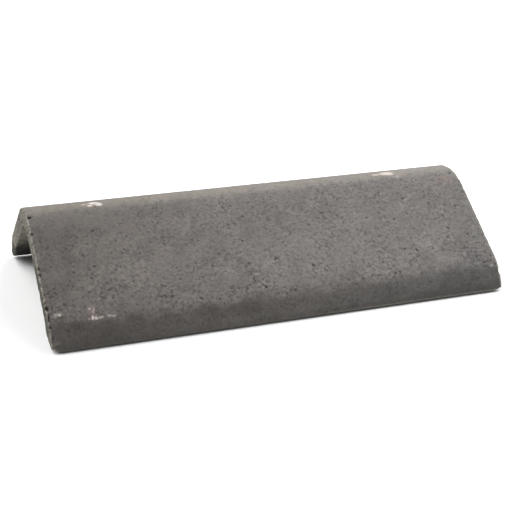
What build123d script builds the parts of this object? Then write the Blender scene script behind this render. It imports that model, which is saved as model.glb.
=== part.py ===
from build123d import *
import math
import os

# Concrete ridge tile, in millimetres and degrees.
# X runs along the ridge, Y across it and Z up. The origin is on the floor, midway along
# and midway between the feet. The tile was pressed in one piece, so it is one solid: a
# section of tangent arcs and straight lines, the same from end to end. Each foot is cut
# about square to its leg, so the tile stands on the two worn outer arrises of its feet.

# Overall sizes
LENGTH = 450.0
WIDTH = 247.0
HEIGHT = 93.0

# Outer face: a round crown, two straight flanks, a round knuckle and a short steep leg
CROWN_RADIUS = 55.0
KNUCKLE_RADIUS = 50.0
LEG_SLOPE = 74.0
LEG_STRAIGHT = 1.8

# Inner face
FLANK_WALL = 16.0
INNER_CROWN_RADIUS = 48.0
INNER_KNUCKLE_RADIUS = 25.0
INNER_LEG_SLOPE = 66.0

# Feet: the width of a foot face between its sharp corners, and its rise towards the inside
FOOT_WIDTH = 31.8
FOOT_SLOPE = 22.0

# Worn arrises: outside and inside of the feet, and round both end faces
FOOT_ROUND = 3.0
INNER_FOOT_ROUND = 2.0
END_ROUND = 0.9


def uphill(degrees):
    """Direction in the section that climbs towards the ridge at this slope."""
    angle = math.radians(degrees)
    return Vector(-math.cos(angle), math.sin(angle))


def outward(degrees):
    """Direction square to that slope, out of the tile's top."""
    angle = math.radians(degrees)
    return Vector(math.sin(angle), math.cos(angle))


def meet(point, degrees, other, other_degrees):
    """Where two lines cross, each given by a point and the slope that it climbs at."""
    along = uphill(degrees)
    across = outward(other_degrees)
    return point + along * ((other - point).dot(across) / along.dot(across))


def flank_slope(crown_centre, knuckle_centre):
    """Slope of the line that touches the crown circle and the knuckle circle."""
    apart = crown_centre - knuckle_centre
    lean = math.asin((CROWN_RADIUS - KNUCKLE_RADIUS) / apart.length)
    return math.degrees(math.atan2(apart.Y, -apart.X) + lean)


def half_section():
    """Sharp corners of one side with the radius that rounds each, outer ridge to inner."""
    foot_centre = Vector(WIDTH / 2 - FOOT_ROUND, FOOT_ROUND)
    leg_end = foot_centre + outward(LEG_SLOPE) * FOOT_ROUND
    foot_end = foot_centre - outward(FOOT_SLOPE) * FOOT_ROUND
    knuckle_end = leg_end + uphill(LEG_SLOPE) * LEG_STRAIGHT
    knuckle_centre = knuckle_end - outward(LEG_SLOPE) * KNUCKLE_RADIUS
    crown_centre = Vector(0, HEIGHT - CROWN_RADIUS)

    slope = flank_slope(crown_centre, knuckle_centre)
    flank = crown_centre + outward(slope) * CROWN_RADIUS
    inner_flank = flank - outward(slope) * FLANK_WALL
    middle = Vector(0, 0)

    ridge = meet(middle, 90, flank, slope)
    knuckle = meet(flank, slope, leg_end, LEG_SLOPE)
    foot = meet(leg_end, LEG_SLOPE, foot_end, FOOT_SLOPE)
    inner_foot = foot + uphill(FOOT_SLOPE) * FOOT_WIDTH
    inner_knuckle = meet(inner_flank, slope, inner_foot, INNER_LEG_SLOPE)
    inner_ridge = meet(middle, 90, inner_flank, slope)
    return [
        (ridge, CROWN_RADIUS),
        (knuckle, KNUCKLE_RADIUS),
        (foot, FOOT_ROUND),
        (inner_foot, INNER_FOOT_ROUND),
        (inner_knuckle, INNER_KNUCKLE_RADIUS),
        (inner_ridge, INNER_CROWN_RADIUS),
    ]


def section():
    """Closed outline of the tile, drawn in the YZ plane with every corner rounded."""
    side = half_section()
    mirrored = [(Vector(-corner.X, corner.Y), radius) for corner, radius in side[-2:0:-1]]
    corners = side + mirrored
    with BuildSketch(Plane.YZ) as drawn:
        with BuildLine():
            FilletPolyline(
                [corner for corner, radius in corners],
                radius=[radius for corner, radius in corners],
                close=True,
            )
        make_face()
    return drawn.sketch


def ridge_tile():
    """The section run along the ridge, with the arrises of both end faces worn round."""
    body = extrude(section(), amount=LENGTH / 2, both=True)
    end_faces = body.faces().filter_by(Axis.X)
    return fillet(end_faces.edges(), END_ROUND)


tile = ridge_tile()
box = tile.bounding_box()
print("volume cm3:", round(tile.volume / 1000, 1))
print("size mm:", [round(value, 2) for value in box.size])
print("lowest point mm:", round(box.min.Z, 4))
for corner, radius in half_section():
    print("corner mm:", round(corner.X, 2), round(corner.Y, 2), "radius", radius)

os.makedirs("parts", exist_ok=True)
export_step(tile, "parts/ridge_tile.step")
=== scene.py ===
# %% [markdown]
# This scene dresses one concrete ridge tile, the angled kind that is bedded along the top
# of a pitched roof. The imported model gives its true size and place. Everything that makes
# it look like old pressed concrete is added here: worn arrises, pits, rough cut ends, a
# creamy ridge and a few scuffs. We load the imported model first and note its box, because
# the finished piece has to stay inside it.

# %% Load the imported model
import math
import random

import bmesh
import bpy
from mathutils import Matrix, Vector, kdtree, noise
from mathutils.bvhtree import BVHTree


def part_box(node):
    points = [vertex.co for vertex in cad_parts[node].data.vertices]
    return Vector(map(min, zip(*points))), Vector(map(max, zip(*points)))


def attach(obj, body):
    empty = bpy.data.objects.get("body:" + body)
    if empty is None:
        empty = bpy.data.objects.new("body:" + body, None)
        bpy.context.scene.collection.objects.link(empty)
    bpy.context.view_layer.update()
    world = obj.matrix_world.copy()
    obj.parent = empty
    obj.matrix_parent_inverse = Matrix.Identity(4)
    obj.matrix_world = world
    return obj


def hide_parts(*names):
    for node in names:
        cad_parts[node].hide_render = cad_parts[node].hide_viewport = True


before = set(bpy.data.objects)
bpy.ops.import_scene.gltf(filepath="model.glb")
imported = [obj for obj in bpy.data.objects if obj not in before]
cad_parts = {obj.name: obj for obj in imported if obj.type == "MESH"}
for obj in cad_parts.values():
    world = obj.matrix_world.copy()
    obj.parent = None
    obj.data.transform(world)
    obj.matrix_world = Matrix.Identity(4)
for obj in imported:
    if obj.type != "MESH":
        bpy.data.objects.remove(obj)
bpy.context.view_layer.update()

MM = 0.001
tile_low, tile_high = [Vector(corner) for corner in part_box("ridge_tile")]
tile_size = tile_high - tile_low
print("tile box in mm:", [round(side / MM, 1) for side in tile_size])

# %% [markdown]
# The camera stands to the left of the tile and looks a little down on it, through a long
# lens, so that the lines of the ridge stay nearly parallel. Its place is worked out from
# the point it looks at, the turn, the tilt and the distance, which is easier to adjust
# than three numbers for a place in space.

# %% Camera
CAMERA_TARGET = Vector((6.9, 0, 19.0)) * MM
CAMERA_DISTANCE = 1153.8 * MM
CAMERA_TURN = math.radians(-19.44)
CAMERA_TILT = math.radians(21.72)
CAMERA_ROLL = math.radians(0.44)
CAMERA_LENS = 79.13

camera_data = bpy.data.cameras.new("camera")
camera_data.lens = CAMERA_LENS
camera_data.sensor_width = 36
camera = bpy.data.objects.new("camera", camera_data)
bpy.context.scene.collection.objects.link(camera)
aim = (
    Matrix.Rotation(CAMERA_TURN, 4, "Z")
    @ Matrix.Rotation(math.radians(90) - CAMERA_TILT, 4, "X")
    @ Matrix.Rotation(CAMERA_ROLL, 4, "Z")
)
backwards = aim.to_3x3() @ Vector((0, 0, 1))
camera.matrix_world = Matrix.Translation(CAMERA_TARGET + backwards * CAMERA_DISTANCE) @ aim
bpy.context.scene.camera = camera
print("camera stands at, in mm:", [round(part / MM) for part in camera.matrix_world.translation])

# %% [markdown]
# A ridge tile is pressed through a former, so one section runs from end to end. Its outer
# line is a round crown, two straight flanks, two round knuckles and two short steep legs.
# The inner line follows it at the thickness of the wall. Each line can be told by its
# sharp corners and the radius that rounds each of them, as a draughtsman would note it.

# %% Corners of the section
CROWN_RADIUS = 55 * MM
KNUCKLE_RADIUS = 50 * MM
LEG_SLOPE = math.radians(74)
LEG_STRAIGHT = 1.8 * MM
FLANK_WALL = 16 * MM
INNER_CROWN_RADIUS = 48 * MM
INNER_KNUCKLE_RADIUS = 25 * MM
INNER_LEG_SLOPE = math.radians(66)
FOOT_WIDTH = 31.8 * MM
FOOT_SLOPE = math.radians(22)
FOOT_ROUND = 3 * MM
INNER_FOOT_ROUND = 2 * MM


def uphill(slope):
    """Direction across the tile, on its near side, that climbs towards the ridge."""
    return Vector((math.cos(slope), math.sin(slope)))


def outward(slope):
    """Direction square to that slope, out of the tile's top."""
    return Vector((-math.sin(slope), math.cos(slope)))


def meet(point, slope, other, other_slope):
    """Where two lines cross, each given by a point and the slope that it climbs at."""
    along = uphill(slope)
    across = outward(other_slope)
    return point + along * ((other - point).dot(across) / along.dot(across))


foot_centre = Vector((FOOT_ROUND - tile_size.y / 2, FOOT_ROUND))
leg_end = foot_centre + outward(LEG_SLOPE) * FOOT_ROUND
foot_end = foot_centre - outward(FOOT_SLOPE) * FOOT_ROUND
knuckle_centre = leg_end + uphill(LEG_SLOPE) * LEG_STRAIGHT - outward(LEG_SLOPE) * KNUCKLE_RADIUS
crown_centre = Vector((0, tile_size.z - CROWN_RADIUS))

apart = crown_centre - knuckle_centre
lean = math.asin((CROWN_RADIUS - KNUCKLE_RADIUS) / apart.length)
flank_slope = math.atan2(apart.y, apart.x) + lean
flank = crown_centre + outward(flank_slope) * CROWN_RADIUS
inner_flank = flank - outward(flank_slope) * FLANK_WALL

middle = Vector((0, 0))
upright = math.radians(90)
ridge = meet(middle, upright, flank, flank_slope)
knuckle = meet(flank, flank_slope, leg_end, LEG_SLOPE)
foot = meet(leg_end, LEG_SLOPE, foot_end, FOOT_SLOPE)
inner_foot = foot + uphill(FOOT_SLOPE) * FOOT_WIDTH
inner_knuckle = meet(inner_flank, flank_slope, inner_foot, INNER_LEG_SLOPE)
inner_ridge = meet(middle, upright, inner_flank, flank_slope)
inner_reach = INNER_FOOT_ROUND * math.tan((INNER_LEG_SLOPE - FOOT_SLOPE) / 2)
inner_foot_end = inner_foot - uphill(FOOT_SLOPE) * inner_reach
print("flank slope in degrees:", round(math.degrees(flank_slope), 2))

# %% [markdown]
# To draw those lines as a mesh we use a small pen. A straight run extrudes the vertex at
# its tip again and again, and a round corner spins the tip about the corner's centre.
# Both lines get the same number of edges, so that they can be bridged into a neat strip.

# %% A pen for the section
LEFT = tile_low.x


class SectionLine:
    """A pen that draws one edge after another in the plane of the tile's left end."""

    def __init__(self, mesh, start):
        self.mesh = mesh
        self.tip = bmesh.ops.create_vert(mesh, co=(LEFT, start.x, start.y))["vert"][0]

    def run(self, end, steps):
        """Straight on to an end point, in equal steps."""
        step = (Vector((LEFT, end.x, end.y)) - self.tip.co) / steps
        for _ in range(steps):
            made = bmesh.ops.extrude_vert_indiv(self.mesh, verts=[self.tip])
            self.tip = made["verts"][0]
            bmesh.ops.translate(self.mesh, verts=[self.tip], vec=step)

    def turn(self, centre, angle, steps):
        """Round a corner, about its centre."""
        made = bmesh.ops.spin(
            self.mesh, geom=[self.tip], cent=(LEFT, centre.x, centre.y), axis=(1, 0, 0),
            angle=angle, steps=steps, use_merge=False,
        )
        self.tip = [part for part in made["geom_last"] if isinstance(part, bmesh.types.BMVert)][0]


def draw(mesh, near_side, radii, runs, turns):
    """Draws a line past the sharp corners of the near side and their mirrored ones."""
    corners = near_side + [Vector((-corner.x, corner.y)) for corner in reversed(near_side[:-1])]
    radii = radii + radii[-2::-1]
    runs = runs + runs[::-1]
    turns = turns + turns[-2::-1]
    pen = SectionLine(mesh, corners[0])
    for i, radius in enumerate(radii):
        before = (corners[i + 1] - corners[i]).normalized()
        after = (corners[i + 2] - corners[i + 1]).normalized()
        angle = math.atan2(before.cross(after), before.dot(after))
        start = corners[i + 1] - before * radius * math.tan(abs(angle) / 2)
        if runs[i]:
            pen.run(start, runs[i])
        centre = start + Vector((-before.y, before.x)) * math.copysign(radius, angle)
        pen.turn(centre, angle, turns[i])


print("the pen draws at x, in mm:", round(LEFT / MM, 1))

# %% [markdown]
# The strip between the two lines is the tile's left end. Extruding it along the ridge
# makes the whole tile in one go, with its section the same from end to end, as the press
# leaves it.

# %% The section, pressed along the ridge
# Edges on each straight run and round each corner, from a foot up to the ridge
OUTER_RUNS = [0, 1, 42]
OUTER_TURNS = [6, 18, 34]
INNER_RUNS = [0, 6, 42]
INNER_TURNS = [6, 13, 34]

body = bmesh.new()
draw(
    body,
    [foot_end, foot, knuckle, ridge],
    [FOOT_ROUND, KNUCKLE_RADIUS, CROWN_RADIUS],
    OUTER_RUNS,
    OUTER_TURNS,
)
draw(
    body,
    [inner_foot_end, inner_foot, inner_knuckle, inner_ridge],
    [INNER_FOOT_ROUND, INNER_KNUCKLE_RADIUS, INNER_CROWN_RADIUS],
    INNER_RUNS,
    INNER_TURNS,
)
bmesh.ops.bridge_loops(body, edges=body.edges[:])
pressed = bmesh.ops.extrude_face_region(body, geom=body.faces[:], use_keep_orig=True)
pressed_points = [part for part in pressed["geom"] if isinstance(part, bmesh.types.BMVert)]
bmesh.ops.translate(body, verts=pressed_points, vec=(tile_size.x, 0, 0))
bmesh.ops.recalc_face_normals(body, faces=body.faces[:])
print("pressed tile:", len(body.verts), "points")

# %% [markdown]
# The end arrises are bevelled, and the long faces are cut into small ones, because the
# wear that comes next needs points that it can move. The cells are smaller near the ends,
# where most of the wear is.

# %% Round arrises and small cells
SHARP = math.radians(60)
END_ROUND = 0.7 * MM
CELLS_ALONG = 224
END_STRETCH = 8 * MM
CELLS_AT_END = 10
CELLS_THROUGH = 10
LEVEL = 0.01 * MM

outline = [edge for edge in body.edges if edge.calc_face_angle(0) > SHARP]
bmesh.ops.bevel(
    body, geom=outline, offset=END_ROUND, offset_type="OFFSET", affect="EDGES",
    segments=3, profile=0.5, material=-1, clamp_overlap=False,
)


def across_wall(edge):
    """True for an edge that runs through the wall of an end or across a foot."""
    level = abs(edge.verts[0].co.x - edge.verts[1].co.x) < LEVEL
    return level and edge.calc_length() > FLANK_WALL / 2


through = [edge for edge in body.edges if across_wall(edge)]
bmesh.ops.subdivide_edges(body, edges=through, cuts=CELLS_THROUGH - 1, use_grid_fill=True)
for side in (LEFT + END_STRETCH, LEFT + tile_size.x - END_STRETCH):
    bmesh.ops.bisect_plane(
        body, geom=body.verts[:] + body.edges[:] + body.faces[:],
        plane_co=(side, 0, 0), plane_no=(1, 0, 0),
    )


def along_ridge(edge, shortest):
    """True for an edge that runs along the ridge and is longer than this."""
    return abs(edge.verts[0].co.x - edge.verts[1].co.x) > shortest


middle_edges = [edge for edge in body.edges if along_ridge(edge, tile_size.x / 2)]
bmesh.ops.subdivide_edges(body, edges=middle_edges, cuts=CELLS_ALONG - 1, use_grid_fill=True)
end_edges = [edge for edge in body.edges if along_ridge(edge, END_STRETCH / 2)]
bmesh.ops.subdivide_edges(body, edges=end_edges, cuts=CELLS_AT_END - 1, use_grid_fill=True)
body.normal_update()
print("clean tile:", len(body.verts), "points,", len(body.faces), "faces,",
      sum(len(face.verts) != 4 for face in body.faces), "of them not four-sided")

# %% [markdown]
# Wear and colour differ from face to face, so each point first gets a share from 0 to 1 of
# each kind of face. The normal tells a cut end, and the direction to the hollow tells the
# outside from the underside. A tree of the points on the end arrises tells how near one is.

# %% Which face a point is on
HOLLOW_CENTRE = Vector((0, 20 * MM))
# Where the share of an arris starts to fall, and where it ends
ARRIS_NEAR = 0.7 * MM
ARRIS_FAR = 2.1 * MM

points = body.verts[:]
start_place = [point.co.copy() for point in points]
start_normal = [point.normal.copy() for point in points]


def smooth_step(value, low, high):
    """0 below low, 1 above high and a smooth rise between them."""
    share = min(max((value - low) / (high - low), 0), 1)
    return share * share * (3 - 2 * share)


def on_cut_end(normal):
    """1 on the two end faces."""
    return smooth_step(abs(normal.x), 0.6, 0.9)


def on_outside(place, normal):
    """1 on the crown, flanks and legs, and 0 on the underside and the feet."""
    inwards = HOLLOW_CENTRE - Vector((place.y, place.z))
    facing = inwards.normalized().dot(Vector((normal.y, normal.z)))
    return smooth_step(-facing, -0.1, 0.1)


def near_end(place):
    """1 along the end arrises."""
    return smooth_step(abs(place.x), tile_high.x - 3 * MM, tile_high.x - 0.5 * MM)


def tree_of(chosen):
    """A tree that finds the nearest of the chosen points."""
    made = kdtree.KDTree(len(chosen))
    for index in chosen:
        made.insert(start_place[index], index)
    made.balance()
    return made


cut_end = [on_cut_end(normal) for normal in start_normal]
outside = [on_outside(place, normal) for place, normal in zip(start_place, start_normal)]
on_bevel = [index for index, place in enumerate(start_place)
            if 0.03 * MM < tile_high.x - abs(place.x) < 0.9 * END_ROUND]
arris_tree = tree_of(on_bevel)
to_arris = [arris_tree.find(place)[2] for place in start_place]
arris_share = [1 - smooth_step(distance, ARRIS_NEAR, ARRIS_FAR) for distance in to_arris]
print("cut ends hold", sum(cut > 0.5 for cut in cut_end), "points, the outside",
      sum(outer > 0.5 for outer in outside))

# %% [markdown]
# Concrete never stays as clean as its former. The wear is kept as one number for each
# point: how far it sinks inwards along its normal. Sinking only ever goes inwards, so the
# tile can't grow past its true size. Slow noise gives the gentle waves of a pressed face,
# and quicker noise roughens the cut ends, the underside and the arrises.

# %% The first wear
# Depth and size of the waves in millimetres, and a shift that keeps the kinds apart
SLOW_WAVES = (0.08, 40, 0)
QUICK_WAVES = (0.08, 4, 7)
ROUGH_CUT = (0.25, 3.2, 13)
ARRIS_WEAR = (0.14, 5, 21)
FOOT_WEAR = (0.35, 4.5, 31)
UNDERSIDE_ROUGHER = 0.8


def wave(place, size, shift):
    """Noise from 0 to 1 whose waves are about this size."""
    return 0.5 + 0.5 * noise.noise(place / size + Vector((shift, shift, shift)))


def worn(place, kind):
    """Depth of one kind of wear at a place."""
    depth, size, shift = kind
    return depth * MM * wave(place, size * MM, shift)


sunk = []
for place, cut, outer in zip(start_place, cut_end, outside):
    rough = worn(place, ROUGH_CUT) * (1 + UNDERSIDE_ROUGHER * (1 - outer))
    arris = worn(place, ARRIS_WEAR) * near_end(place) * (1 - cut)
    foot_edge = worn(place, FOOT_WEAR) * smooth_step(-place.z, -5 * MM, -1 * MM)
    even = worn(place, SLOW_WAVES) + worn(place, QUICK_WAVES)
    sunk.append(even + arris + foot_edge + rough * max(cut, 1 - outer))
print("deepest first wear in mm:", round(max(sunk) / MM, 2))

# %% [markdown]
# Next come the pits. Some are at given places: black holes along the left arris, a chip low
# on the right one, and a few on the flank. Their places are told as seen from above, and a
# ray finds the outer face there. A tree of the points finds those that a pit reaches.

# %% Pits at known places
# Along, across, radius and depth in millimetres
FLANK_PITS = [
    (-167, -37, 2.6, 0.9), (-163, -36, 2.0, 0.6), (-166.8, -15.4, 2.2, 0.5),
    (80, -86.1, 2.6, 0.9), (33.6, -37.9, 2.2, 0.7), (-37.4, -48.2, 2.3, 0.7),
    (4, -45.5, 2.2, 0.7), (-76.5, -56.1, 2.2, 0.6), (-34, -112.6, 2.2, 0.6),
    (144.8, -90.4, 2.4, 0.9), (75.4, -107, 2.2, 0.6), (86.5, -99.9, 2.2, 0.6),
    (200.8, -16.2, 2.2, 0.6), (218.4, -13.6, 2.6, 1.0),
]
ARRIS_PITS = [
    (-221.6, -15.2, 2.8, 1.5), (-222.7, -34.0, 2.2, 1.0), (-222.9, -65.6, 2.0, 0.7),
    (-222.6, -71.0, 2.0, 0.7), (-223.3, -100.6, 2.6, 1.3), (-222.4, -101.6, 2.0, 0.8),
    (-222.8, -107.3, 2.2, 1.0), (-223.2, -109.8, 2.2, 0.9), (-223.3, -114.0, 2.2, 1.0),
    (-222.2, -119.8, 2.2, 0.6), (224.6, -116.8, 2.7, 1.6),
]
PIT_RAGGEDNESS = 0.8

tree = tree_of(range(len(points)))
surface = BVHTree.FromBMesh(body)
pit_depth = [0.0] * len(points)


def dig(centre, radius, depth):
    """Deepens every point that a roundish pit reaches."""
    for place, index, distance in tree.find_range(centre, radius):
        ragged = distance * (1 + PIT_RAGGEDNESS * (wave(place, 1.7 * MM, 53) - 0.5))
        share = 1 - (ragged / radius) ** 2
        pit_depth[index] = max(pit_depth[index], depth * share)


def on_top(along, across):
    """The point of the outer face above a place on the floor, both in millimetres."""
    start = Vector((along * MM, across * MM, 2 * tile_size.z))
    return surface.ray_cast(start, Vector((0, 0, -1)))[0]


for along, across, radius, depth in FLANK_PITS + ARRIS_PITS:
    dig(on_top(along, across), radius * MM, depth * MM)
print("points in pits at known places:", sum(depth > 0 for depth in pit_depth))

# %% [markdown]
# The rest of the pits are scattered with a seeded random draw, so that every run gives the
# same tile. The left arris was knocked about more than the right one, so its pits are
# deeper.

# %% Scattered pits
random.seed(27)
arris_points = [i for i, place in enumerate(start_place)
                if near_end(place) > 0.3 and cut_end[i] < 0.9 and outside[i] > 0.5]
skin_points = [i for i in range(len(points)) if cut_end[i] < 0.1]
end_points = [i for i in range(len(points)) if cut_end[i] > 0.9]


def scatter(chosen, count, radii, depths, right_deepest):
    """Digs pits at points drawn from a list. Lengths are in millimetres."""
    for _ in range(count):
        centre = start_place[random.choice(chosen)]
        deepest = depths[1] if centre.x < 0 else right_deepest
        radius = random.uniform(*radii)
        dig(centre, radius * MM, random.uniform(depths[0], deepest) * MM)


scatter(skin_points, 900, (1.9, 2.7), (0.15, 0.5), 0.5)
scatter(arris_points, 90, (1.4, 2.6), (0.2, 1.0), 0.35)
scatter(end_points, 160, (1.8, 3.2), (0.3, 0.9), 0.9)
print("pitted points:", sum(depth > 0 for depth in pit_depth))

# %% [markdown]
# Corners of the feet are knocked about when tiles are stacked. A broken corner is close to
# a flat break, so every point that lies beyond a slanted plane is brought back to it, with
# some noise left on. Such a break bares pale concrete, so it also counts as arris. The far
# foot at the left end is worn short, and light shows under it.

# %% Broken corners, and the wear put on the mesh
# A point of each break, in millimetres, and its outward direction
BREAKS = [
    ((214.0, -123.5, 0.4), (0.32, -0.13, -0.94)),
    ((-220.5, -123.95, 4.2), (-0.52, -0.49, -0.70)),
    ((-224.6, -118.0, 20.0), (-0.996, -0.03, -0.045)),
    ((-224.2, 0.0, 88.0), (-0.985, 0.0, 0.17)),
    ((-222.6, 122.0, 1.4), (-0.55, 0.45, -0.70)),
    ((220.5, 122.5, 2.5), (0.50, 0.40, -0.77)),
]
BREAK_ROUGHNESS = (0.5, 2.6, 41)
BARE_DEPTH = 0.6 * MM
BARE_SHARE = 0.8
FAR_FOOT_LIFT = 1.25 * MM

breaks = [(Vector(spot) * MM, Vector(way).normalized()) for spot, way in BREAKS]
for index, point in enumerate(points):
    place = start_place[index] - start_normal[index] * (sunk[index] + pit_depth[index])
    for break_point, direction in breaks:
        beyond = (place - break_point).dot(direction)
        if beyond > 0:
            arris_share[index] = max(arris_share[index], min(beyond / BARE_DEPTH, BARE_SHARE))
            place = place - direction * (beyond + worn(place, BREAK_ROUGHNESS))
    if place.y > 0:
        low_down = 1 - smooth_step(place.z, 2 * MM, 14 * MM)
        leftwards = smooth_step(-place.x, 60 * MM, 225 * MM)
        place.z += FAR_FOOT_LIFT * low_down * leftwards
    point.co = place
print("points laid bare by breaks and arrises:", sum(share > 0.5 for share in arris_share))

# %% [markdown]
# The worn mesh becomes an object, and the shares that we kept for each point become
# attributes of it, which the material reads later.

# %% The tile as an object
DEEP_PIT = 1.6 * MM

body.normal_update()
tile_mesh = bpy.data.meshes.new("weathered_tile")
body.to_mesh(tile_mesh)
body.free()
pit_shares = [min(depth / DEEP_PIT, 1) for depth in pit_depth]
shares = {"cut_end": cut_end, "outside": outside, "arris": arris_share, "pit": pit_shares}
for name, values in shares.items():
    layer = tile_mesh.attributes.new(name, "FLOAT", "POINT")
    layer.data.foreach_set("value", values)
tile_mesh.shade_smooth()
tile = bpy.data.objects.new("weathered_tile", tile_mesh)
bpy.context.scene.collection.objects.link(tile)
tile_mesh.calc_loop_triangles()
print("weathered tile:", len(tile_mesh.loop_triangles), "triangles")

# %% [markdown]
# Materials are easier to read as sums than as webs of nodes. A wire stands for one output
# of a node, and adding or multiplying wires adds the Math nodes. The maker puts any other
# kind of node into the tree, from its settings and what goes into its sockets. Spots are
# measured with a spherical Gradient, which needs less room in the shader than a length.

# %% Wires and a maker of nodes
SPOT_RANGE = 4.0


class Wire:
    """One output of a node, with sums and products that add Math nodes."""

    def __init__(self, maker, socket):
        self.maker = maker
        self.socket = socket

    def math(self, operation, first, second):
        return self.maker.add("ShaderNodeMath", {"operation": operation}, {0: first, 1: second})

    def __add__(self, other):
        return self.math("ADD", self, other)

    def __radd__(self, other):
        return self.math("ADD", other, self)

    def __sub__(self, other):
        return self.math("SUBTRACT", self, other)

    def __rsub__(self, other):
        return self.math("SUBTRACT", other, self)

    def __mul__(self, other):
        return self.math("MULTIPLY", self, other)

    def __rmul__(self, other):
        return self.math("MULTIPLY", other, self)


class Maker:
    """Adds nodes to one tree."""

    def __init__(self, tree):
        self.tree = tree

    def add(self, kind, settings=None, sockets=None, output=0):
        """A node of this kind, with its settings, then its socket values or links."""
        node = self.tree.nodes.new(kind)
        for name, value in (settings or {}).items():
            setattr(node, name, value)
        for name, value in (sockets or {}).items():
            if isinstance(value, Wire):
                self.tree.links.new(value.socket, node.inputs[name])
            else:
                node.inputs[name].default_value = value
        return Wire(self, node.outputs[output]) if node.outputs else None

    def smooth(self, value, low, high):
        """0 below low, 1 above high and a smooth rise between them."""
        return self.add(
            "ShaderNodeMapRange", {"interpolation_type": "SMOOTHSTEP"},
            {"Value": value, "From Min": low, "From Max": high},
        )

    def mixed(self, share, first, second, blend="MIX"):
        """Two colours mixed by a share from 0 to 1."""
        return self.add(
            "ShaderNodeMix", {"data_type": "RGBA", "blend_type": blend},
            {0: share, 6: first, 7: second}, output=2,
        )

    def dimmed(self, colour, light):
        """A colour times one number."""
        grey = self.add("ShaderNodeCombineColor", None, {0: light, 1: light, 2: light})
        return self.mixed(1.0, colour, grey, blend="MULTIPLY")

    def noise(self, place, size, detail=2.0, roughness=0.5, output=0):
        """Noise whose waves are about this size, in millimetres."""
        return self.add(
            "ShaderNodeTexNoise", None,
            {"Vector": place, "Scale": 1 / (size * MM), "Detail": detail, "Roughness": roughness},
            output,
        )

    def grains(self, place, size, output):
        """Cells about this size, in millimetres. Output 0 is the distance to a middle."""
        return self.add(
            "ShaderNodeTexVoronoi", None, {"Vector": place, "Scale": 1 / (size * MM)}, output
        )

    def attribute(self, name):
        """A number that the mesh holds for each of its points."""
        return self.add("ShaderNodeAttribute", {"attribute_name": name}, None, output="Fac")

    def reach(self, place, middle, along, down):
        """Distance from the middle of a spot, in its half sizes, up to SPOT_RANGE of them."""
        local = self.add(
            "ShaderNodeMapping", {"vector_type": "TEXTURE"},
            {"Vector": place, "Location": middle,
             "Scale": Vector((along, down, down)) * MM * SPOT_RANGE},
        )
        near = self.add("ShaderNodeTexGradient", {"gradient_type": "SPHERICAL"}, {0: local}, "Fac")
        return (1 - near) * SPOT_RANGE


def linear(red, green, blue):
    """A colour as a picture gives it, from 0 to 255, for a colour socket."""
    parts = [part / 255 for part in (red, green, blue)]
    parts = [p / 12.92 if p <= 0.04045 else ((p + 0.055) / 1.055) ** 2.4 for p in parts]
    return (*parts, 1)


print("middle grey for a socket:", [round(part, 3) for part in linear(128, 128, 128)])

# %% [markdown]
# One material covers the whole tile. It reads the place of each point and the shares that
# the mesh holds. Noise of several sizes makes the grain, from fine sand to clouds as wide
# as a hand. The grain is darker or lighter than the average, so it is kept around zero.

# %% Places, shares and grain
concrete = bpy.data.materials.new("concrete")
concrete.use_nodes = True
concrete.node_tree.nodes.clear()
mix = Maker(concrete.node_tree)
place = mix.add("ShaderNodeTexCoord", output="Object")
parts = mix.add("ShaderNodeSeparateXYZ", None, {0: place})
along, across, up = [Wire(mix, socket) for socket in parts.socket.node.outputs]

outside_share = mix.attribute("outside")
cut_share = mix.attribute("cut_end")
pit_share = mix.attribute("pit")

fine_grain = mix.noise(place, 1.5, detail=1) - 0.5
sand_grain = mix.noise(place, 3.1, detail=1) - 0.5
pebbles = mix.noise(place, 7, detail=2) - 0.5
cloud = mix.noise(place, 16, detail=2) - 0.5
patch = mix.noise(place, 55, detail=2) - 0.5
print("the grain takes", len(concrete.node_tree.nodes), "nodes")

# %% [markdown]
# Close up, the flank is full of small dark specks with quieter stretches between them, and
# faint pale wisps. The leg is smoother, and so is the crown towards its left end. Pores are
# the cells of a Voronoi pattern, of which some are picked. Their places are shifted a
# little by noise, so that they aren't round.

# %% Specks, wisps and pores
leg_share = 1 - mix.smooth(up + cloud * (10 * MM), 19 * MM, 27.5 * MM)
crown_share = mix.smooth(up + cloud * (8 * MM), 83 * MM, 89.5 * MM)
low_share = 1 - mix.smooth(up, 32 * MM, 60 * MM)
quiet_share = mix.smooth(up, 70 * MM, 84 * MM) * mix.smooth(0 - along, 100 * MM, 160 * MM)
busy = mix.smooth(mix.noise(place, 24, detail=2), 0.35, 0.62)
coarse = (0.5 + 0.5 * busy) * (1 - 0.45 * leg_share) * (1 + 0.3 * low_share)
coarse = coarse * (1 - 0.55 * quiet_share)
specks = (1 - mix.smooth(mix.noise(place, 2.9, detail=1), 0.30, 0.45)) * coarse
wisps = mix.smooth(mix.noise(place, 3.2, detail=1), 0.56, 0.72) * coarse

PORE_SPACING = 9.0
PORE_SHIFT = Vector((1.6, 1.6, 1.6)) * MM
ragged = mix.add(
    "ShaderNodeVectorMath", {"operation": "MULTIPLY_ADD"},
    {0: mix.noise(place, 2.0, output=1), 1: PORE_SHIFT, 2: place},
)
pore_distance = mix.grains(ragged, PORE_SPACING, 0)
pore_pick = mix.add("ShaderNodeSeparateColor", None, {0: mix.grains(ragged, PORE_SPACING, 1)})
pore_size = 0.20 * mix.smooth(pore_pick, 0.45, 1.0)
pore = mix.smooth(pore_size - pore_distance, -0.04, 0.06)
pore = pore * (1 - 0.5 * leg_share) * (1 - 0.7 * quiet_share)
print("with specks, wisps and pores:", len(concrete.node_tree.nodes), "nodes")
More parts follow.
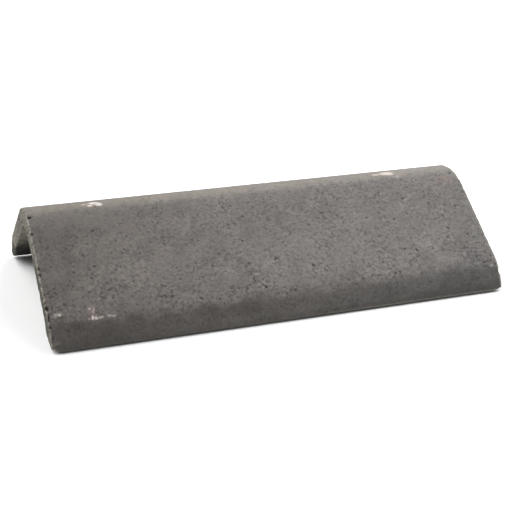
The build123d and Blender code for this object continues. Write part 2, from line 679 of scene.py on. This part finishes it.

# %% [markdown]
# Broad patches are made lighter or darker than the rest.
# Each is a soft spot whose edge is blurred by the clouds.

# %% Broad patches
# Place along and across and half sizes along and down in millimetres, and how much lighter
PATCHES = [
    ((-214, -80), (30, 58), -0.22), ((-188, -38), (34, 16), -0.16), ((-141, -79), (34, 20), 0.14),
    ((-102, -24), (40, 16), -0.15), ((-108, -50), (44, 20), -0.12), ((-79, -92), (44, 28), -0.15),
    ((-12, -92), (18, 26), 0.12), ((-45, -117), (56, 9), -0.12), ((-52, -123), (92, 8), 0.24),
    ((-190, -121), (40, 12), -0.08), ((-35, -87), (18, 16), -0.10), ((59, -108), (18, 14), -0.12),
    ((107, -44), (18, 16), -0.10), ((212, -88), (28, 44), -0.12), ((187, -111), (26, 11), -0.14),
    ((176, -122.5), (50, 13), -0.18), ((186, -8), (34, 10), -0.09), ((-75, -70), (40, 16), -0.08),
    ((150, -98), (26, 14), -0.08), ((-2, -116), (34, 8), 0.08),
]
patches = 1.0
for spot, half_sizes, lighter in PATCHES:
    reach = mix.reach(place, on_top(*spot), *half_sizes)
    patches = (1 - mix.smooth(reach + cloud, 0.2, 1.2)) * lighter + patches
print("broad patches:", len(PATCHES))

# %% [markdown]
# Now the grain adds up to one lightness, which dims the colour of the skin. The skin is a
# little warmer at the left than at the right. Painted shade makes the leg, which faces away
# from the light, much darker than the flank, and the crown and the left end slightly darker.
# A paler, creamy line runs along the top of the ridge.

# %% The colour of the skin, with painted shade
SKIN_LEFT = linear(109, 104, 100)
SKIN_RIGHT = linear(109, 106, 104)
CREAM = linear(136, 129, 119)
AVERAGE = 1.02
# Each grain, and how much it lightens the skin
GRAINS = [
    (fine_grain, 0.55), (sand_grain * coarse, 1.1), (pebbles, 0.3), (cloud, 0.4),
    (patch, 0.45), (specks, -0.30), (wisps, 0.20), (pore, -0.50),
]
# Each part of the skin that is painted in shade, and how much darker it is
PAINTED_SHADE_PARTS = [
    (leg_share, 0.29), (crown_share, 0.15), (mix.smooth(0 - along, 80 * MM, 170 * MM), 0.10),
]
lightness = AVERAGE
for grain, lighter in GRAINS:
    lightness = grain * lighter + lightness
for part_share, darker in PAINTED_SHADE_PARTS:
    lightness = lightness * (1 - darker * part_share)
skin = mix.mixed(mix.smooth(along, -220 * MM, 220 * MM), SKIN_LEFT, SKIN_RIGHT)
skin_colour = mix.dimmed(skin, lightness * patches)

ridge_share = mix.smooth(up + pebbles * (3 * MM), 90.5 * MM, 93.2 * MM)
skin_colour = mix.mixed(ridge_share * 0.35, skin_colour, CREAM)
print("the skin is made from", len(GRAINS), "grains")

# %% [markdown]
# Along the foot's outer arris runs a ragged pale band, a painted highlight where the rounded
# arris catches light from the white floor. It is dark with shade where it meets the floor,
# and the band shows most towards the right. Low on the leg, next to the floor, the skin is
# painted darker as shade.

# %% Painted highlight and shade along the foot
FOOT_SHADE = linear(80, 79, 74)
FOOT_HIGHLIGHT = linear(124, 123, 116)
# Painted shade: the leg is darker low down, next to the floor.
foot_shade_share = 1 - mix.smooth(up + sand_grain * (6 * MM), 4 * MM, 12 * MM)
skin_colour = mix.mixed(foot_shade_share * 0.45, skin_colour, FOOT_SHADE)
# Painted highlight: a ragged pale band along the foot's rounded arris.
foot_highlight_height = up + (mix.noise(place, 4, detail=2) - 0.5) * (3 * MM)
foot_highlight = mix.smooth(foot_highlight_height, 1.2 * MM, 2 * MM)
foot_highlight = foot_highlight * (1 - mix.smooth(foot_highlight_height, 2.6 * MM, 3.8 * MM))
foot_highlight_strength = 0.20 + 0.60 * mix.smooth(along, -50 * MM, 150 * MM)
skin_colour = mix.mixed(foot_highlight * foot_highlight_strength, skin_colour, FOOT_HIGHLIGHT)
print("with the burr:", len(concrete.node_tree.nodes), "nodes")

# %% [markdown]
# The cut ends show the mix inside: pale, a little green, with dark gaps between grains of
# sand. The near leg's end is dark and damp. The far leg's end is pale above and mossy low
# down.

# %% Cut ends
CUT = linear(124, 120, 110)
CUT_DARK = linear(40, 37, 31)
CUT_PALE = linear(150, 147, 136)
CUT_DAMP = linear(54, 56, 49)
MOSS = linear(42, 41, 32)
cut_grain = mix.smooth(mix.noise(place, 2.2, detail=2, roughness=0.6), 0.36, 0.62)
cut_colour = mix.mixed(cut_grain, CUT_DARK, CUT)
far_leg = mix.smooth(across, 50 * MM, 90 * MM)
cut_colour = mix.mixed(far_leg * 0.2, cut_colour, CUT_PALE)
moss_height = 1 - mix.smooth(up + cloud * (6 * MM), 19 * MM, 24.5 * MM)
moss_share = moss_height * mix.smooth(across, 0.0, 50 * MM) * 0.9
cut_colour = mix.mixed(moss_share, cut_colour, MOSS)
near_leg = mix.smooth(0 - across, 30 * MM, 70 * MM)
cut_colour = mix.mixed(near_leg * 0.75, cut_colour, CUT_DAMP)
print("with the cut ends:", len(concrete.node_tree.nodes), "nodes")

# %% [markdown]
# The underside is mottled pale and olive. Painted shade makes it nearly black at the bottom,
# where the hollow meets the floor, and darker again up under the crown, so it is paler
# halfway up and a dull olive under the crown.

# %% Underside
UNDER = linear(164, 158, 144)
UNDER_OLIVE = linear(134, 128, 112)
LOW_SHADE = linear(34, 34, 32)
blotches = mix.smooth(mix.noise(place, 8, detail=4), 0.3, 0.7)
# Painted shade: nearly black at the bottom, where the hollow meets the floor.
low_shade_share = 1 - mix.smooth(up + cloud * (30 * MM), 14 * MM, 62 * MM)
under_colour = mix.mixed(low_shade_share, mix.mixed(blotches, UNDER_OLIVE, UNDER), LOW_SHADE)
# Painted shade: darker up under the crown.
under_shade_height = up + cloud * (20 * MM)
under_shade = 1 - 0.33 * mix.smooth(under_shade_height, 30 * MM, 42 * MM)
under_shade = under_shade - 0.29 * mix.smooth(under_shade_height, 52 * MM, 66 * MM)
under_colour = mix.dimmed(under_colour, under_shade)
print("with the underside:", len(concrete.node_tree.nodes), "nodes")

# %% [markdown]
# The mesh's shares put the three surfaces where they belong. The arrises are pale in
# places, partly rubbed and broken bare, partly a painted highlight along the edge, and the
# pits are painted dark inside with shade.

# %% Skin, ends and underside together
RUBBED_AND_HIGHLIGHT = linear(154, 150, 139)
colour = mix.mixed(outside_share, under_colour, skin_colour)
colour = mix.mixed(cut_share, colour, cut_colour)
# The arrises: rubbed pale and broken bare, with a painted highlight along the edge.
rubbed_and_highlight = mix.attribute("arris") * mix.smooth(mix.noise(place, 3.6, detail=2), 0.30, 0.47)
rubbed_and_highlight = rubbed_and_highlight * (1 - pit_share) * (1 - moss_share * 0.8) * (1 - cut_share * 0.5)
colour = mix.mixed(rubbed_and_highlight * 0.85, colour, RUBBED_AND_HIGHLIGHT)
# Painted shade darkens the pits and some grain around them.
pit_shade_level = pit_share + fine_grain * 0.8 + sand_grain * 0.6
colour = mix.dimmed(colour, 1 - 0.90 * mix.smooth(pit_shade_level, 0.14, 0.60))
print("the bare tile takes", len(concrete.node_tree.nodes), "nodes")

# %% [markdown]
# Scuffs and stains lie at known places, so each is a soft spot of its own, measured from
# its middle in its own half sizes. Ragged noise breaks up its edge. The darkest rows are
# painted shade, which blackens the pits that were dug along the left arris.

# %% Scuffs, stains and painted shade in pits
WHITE = linear(190, 184, 178)
PALE = linear(200, 191, 184)
PINK = linear(162, 151, 147)
STAIN = linear(126, 112, 106)
PIT_SHADE = linear(34, 31, 27)
# Place along and across and half sizes along and down in millimetres, colour, strength,
# and the size and share of the noise that breaks the edge
SCUFFS = [
    # The white scuff at the left of the crown
    ((-164.0, -6.0), (10.0, 5.0), STAIN, 0.5, 2.6, 1.8),
    ((-157.9, 1.2), (7.2, 4.2), WHITE, 0.95, 3.6, 1.0),
    ((-153.6, -3.6), (5.2, 5.2), WHITE, 0.95, 3.6, 0.8),
    ((-162.4, -4.6), (3.6, 3.4), linear(188, 177, 171), 0.9, 2.6, 0.8),
    ((-167.8, -0.6), (4.4, 3.0), linear(170, 158, 151), 0.7, 2.6, 1.2),
    ((-158.4, -8.8), (1.8, 2.0), linear(62, 56, 52), 0.7, 2.6, 0.5),
    # The white scuff at the right of the crown
    ((151.0, -0.6), (11.6, 7.4), linear(178, 169, 163), 0.9, 4.5, 0.5),
    ((138.6, -1.4), (7.0, 4.2), linear(168, 157, 147), 0.7, 3.0, 1.0),
    ((159.3, -9.9), (2.4, 3.0), linear(172, 166, 158), 0.5, 3.0, 0.8),
    ((165.5, -7.5), (6.0, 4.5), STAIN, 0.45, 3.0, 1.6),
    # Pinkish marks low on the left
    ((-184.4, -107.4), (6.0, 9.0), STAIN, 0.55, 2.6, 1.6),
    ((-186.2, -105.3), (2.0, 1.7), PINK, 0.85, 1.7, 1.4),
    ((-182.2, -105.9), (1.4, 2.0), PINK, 0.7, 1.7, 1.4),
    ((-183.2, -107.8), (1.4, 2.6), PINK, 0.75, 1.7, 1.4),
    ((-184.8, -112.0), (1.9, 2.8), PALE, 0.9, 1.7, 1.2),
    ((-181.8, -112.2), (2.7, 2.4), PALE, 0.8, 1.7, 1.2),
    ((-176.9, -112.3), (3.4, 2.0), PALE, 0.55, 1.7, 1.6),
    ((-170.1, -112.0), (2.0, 1.8), PALE, 0.4, 1.7, 1.4),
    ((-166.0, -112.2), (4.0, 1.8), PALE, 0.35, 1.7, 1.8),
    ((-187.8, -112.4), (2.0, 2.2), PINK, 0.6, 1.7, 1.6),
    ((-213.5, -107.3), (2.0, 1.8), PALE, 0.7, 1.7, 1.4),
    ((-215.0, -106.9), (5.5, 2.4), PALE, 0.3, 1.7, 3.0),
    # The broken corner at the left, and painted shade in the pits along the left arris
    ((-220.0, -121.0), (3.4, 5.0), linear(140, 137, 130), 0.25, 1.7, 5.0),
    ((-221.8, -119.6), (1.6, 3.2), PIT_SHADE, 0.45, 1.7, 3.0),
    ((-218.2, -122.4), (2.6, 1.6), PIT_SHADE, 0.35, 1.7, 3.0),
    ((-223.4, -95.6), (1.3, 2.8), PIT_SHADE, 0.6, 1.7, 1.8),
    ((-223.3, -100.2), (1.9, 3.6), PIT_SHADE, 0.9, 1.7, 1.2),
    ((-222.3, -101.7), (1.5, 1.2), PIT_SHADE, 0.85, 1.7, 1.0),
    ((-222.9, -107.6), (1.2, 2.6), PIT_SHADE, 0.85, 1.7, 1.0),
    ((-223.1, -110.0), (1.3, 1.3), PIT_SHADE, 0.8, 1.7, 1.0),
    ((-223.3, -114.1), (1.3, 1.4), PIT_SHADE, 0.8, 1.7, 1.0),
    ((-221.2, -14.6), (2.6, 2.0), PIT_SHADE, 0.9, 1.7, 1.0),
    ((-222.8, -34.2), (1.3, 2.2), PIT_SHADE, 0.75, 1.7, 1.4),
    ((-222.9, -66.2), (1.8, 3.2), PIT_SHADE, 0.8, 1.7, 1.6),
    ((-222.7, -72.0), (1.7, 2.6), PIT_SHADE, 0.75, 1.7, 1.6),
    # A pit painted dark with shade, a pale speck and reddish stains near the right end
    ((218.4, -13.6), (2.2, 2.6), linear(60, 62, 55), 0.8, 2.0, 0.8),
    ((217.2, -113.0), (2.6, 1.8), linear(168, 165, 159), 0.6, 1.7, 2.0),
    ((206.0, -22.0), (14.0, 9.0), linear(124, 108, 102), 0.4, 4.0, 1.8),
    ((213.8, -26.6), (2.6, 3.4), linear(140, 124, 118), 0.5, 2.4, 1.6),
    ((211.0, -35.0), (2.6, 3.8), linear(120, 102, 98), 0.5, 2.4, 1.6),
    # Faint stains along the middle of the crown
    ((-3.0, -5.5), (8.0, 4.0), STAIN, 0.35, 3.0, 2.0),
    ((45.0, -13.5), (9.0, 4.0), STAIN, 0.35, 3.0, 2.0),
]
grain_sizes = sorted({row[4] for row in SCUFFS})
edge_grain = {size: mix.noise(place, size, detail=2) - 0.5 for size in grain_sizes}
for spot, half_sizes, scuff_colour, strength, grain_size, raggedness in SCUFFS:
    reach = mix.reach(place, on_top(*spot), *half_sizes)
    broken = reach + edge_grain[grain_size] * raggedness
    share = (1 - mix.smooth(broken, 0.35, 0.95)) * strength * outside_share
    colour = mix.mixed(share, colour, scuff_colour)
print("scuffs, stains and blackened pits:", len(SCUFFS))

# %% [markdown]
# The surface is matt. Small bumps of the same grain catch the light, and the specks and
# pores are holes, so they take away from the height that feeds the Bump node.

# %% The finish of the concrete
ROUGHNESS = 0.92
SPECULAR = 0.25
BUMP_STRENGTH = 0.9
BUMP_DISTANCE = 0.7 * MM
height = fine_grain * 0.4 + sand_grain * 0.5 - specks * 0.35 - pore * 0.8
height = height + cut_grain * cut_share * 1.2
bump = mix.add(
    "ShaderNodeBump", None,
    {"Strength": BUMP_STRENGTH, "Distance": BUMP_DISTANCE, "Height": height},
)
shader = mix.add(
    "ShaderNodeBsdfPrincipled", None,
    {"Base Color": colour, "Roughness": ROUGHNESS, "Specular IOR Level": SPECULAR, "Normal": bump},
)
mix.add("ShaderNodeOutputMaterial", None, {"Surface": shader})
tile_mesh.materials.append(concrete)
print("concrete has", len(concrete.node_tree.nodes), "nodes")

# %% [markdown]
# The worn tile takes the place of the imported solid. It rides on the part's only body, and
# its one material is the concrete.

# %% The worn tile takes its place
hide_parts("ridge_tile")
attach(tile, "root")
print("faces in the worn tile:", len(tile_mesh.polygons))

# %% [markdown]
# The tile stands on a wide white sweep, as in a product photograph. The floor lies a hair
# under the tile's lowest point, so that the two don't share a plane.

# %% Floor
FLOOR_REACH = 8.0
FLOOR_DROP = 0.2 * MM
FLOOR_FINISH = {"Base Color": (0.85, 0.85, 0.85, 1), "Roughness": 1.0, "Specular IOR Level": 0.0}

floor_mesh = bpy.data.meshes.new("floor")
flat = bmesh.new()
bmesh.ops.create_grid(flat, x_segments=1, y_segments=1, size=FLOOR_REACH)
bmesh.ops.translate(flat, verts=flat.verts[:], vec=(0, 0, -FLOOR_DROP))
flat.to_mesh(floor_mesh)
flat.free()
floor = bpy.data.objects.new("floor", floor_mesh)
bpy.context.scene.collection.objects.link(floor)
white = bpy.data.materials.new("floor_white")
white.use_nodes = True
for name, value in FLOOR_FINISH.items():
    white.node_tree.nodes["Principled BSDF"].inputs[name].default_value = value
floor_mesh.materials.append(white)
print("floor reaches, in metres:", FLOOR_REACH)

# %% [markdown]
# Soft studio light comes from a round dome. It is faint all over, with a wide bright lobe
# high behind the tile on the left, which makes the crown brightest and leaves the near leg
# dark. A second, fainter lobe reaches the left end. A smooth step of the angle to a lobe's
# middle gives it a soft edge.

# %% Dome of light
# Height above the floor and turn about the tile in degrees, half width and strength
LOBES = [
    (45, 140, 45, 4.5),
    (30, 190, 60, 0.5),
]
DOME_STRENGTH = 0.13


def direction_to(rise, turn):
    """The direction of a lobe from the tile, with both angles in degrees."""
    level = math.cos(math.radians(rise))
    turned = math.radians(turn)
    return Vector((level * math.cos(turned), level * math.sin(turned), math.sin(math.radians(rise))))


world = bpy.data.worlds.new("studio")
world.use_nodes = True
world.node_tree.nodes.clear()
sky = Maker(world.node_tree)
gaze = sky.add("ShaderNodeTexCoord", output="Generated")
glow = DOME_STRENGTH
for rise, turn, half_width, strength in LOBES:
    facing = sky.add(
        "ShaderNodeVectorMath", {"operation": "DOT_PRODUCT"},
        {0: gaze, 1: direction_to(rise, turn)}, output="Value",
    )
    glow = sky.smooth(facing, math.cos(math.radians(half_width)), 1.0) * strength + glow
background = sky.add("ShaderNodeBackground", None, {"Color": (1, 1, 1, 1), "Strength": glow})
sky.add("ShaderNodeOutputWorld", None, {"Surface": background})
bpy.context.scene.world = world
print("lobes on the dome:", len(LOBES))

# %% [markdown]
# Two large panels stand high on the right and face the tile. They make its right end
# brighter than its left end. The Standard view shows colours as they are, without the
# film look that would grey the white floor.

# %% Panels and view
# Place in metres, side and power
PANELS = [
    ((0.8, 0.1, 1.2), 1.5, 16.0),
    ((0.75, 0.45, 0.75), 1.3, 9.5),
]
for panel_place, side, power in PANELS:
    panel_data = bpy.data.lights.new("panel", "AREA")
    panel_data.shape = "SQUARE"
    panel_data.size = side
    panel_data.energy = power
    panel = bpy.data.objects.new("panel", panel_data)
    bpy.context.scene.collection.objects.link(panel)
    backwards = Vector(panel_place).to_track_quat("Z", "Y").to_matrix().to_4x4()
    panel.matrix_world = Matrix.Translation(panel_place) @ backwards

bpy.context.scene.view_settings.view_transform = "Standard"
bpy.context.scene.view_settings.look = "None"
print("panels of light:", len(PANELS))
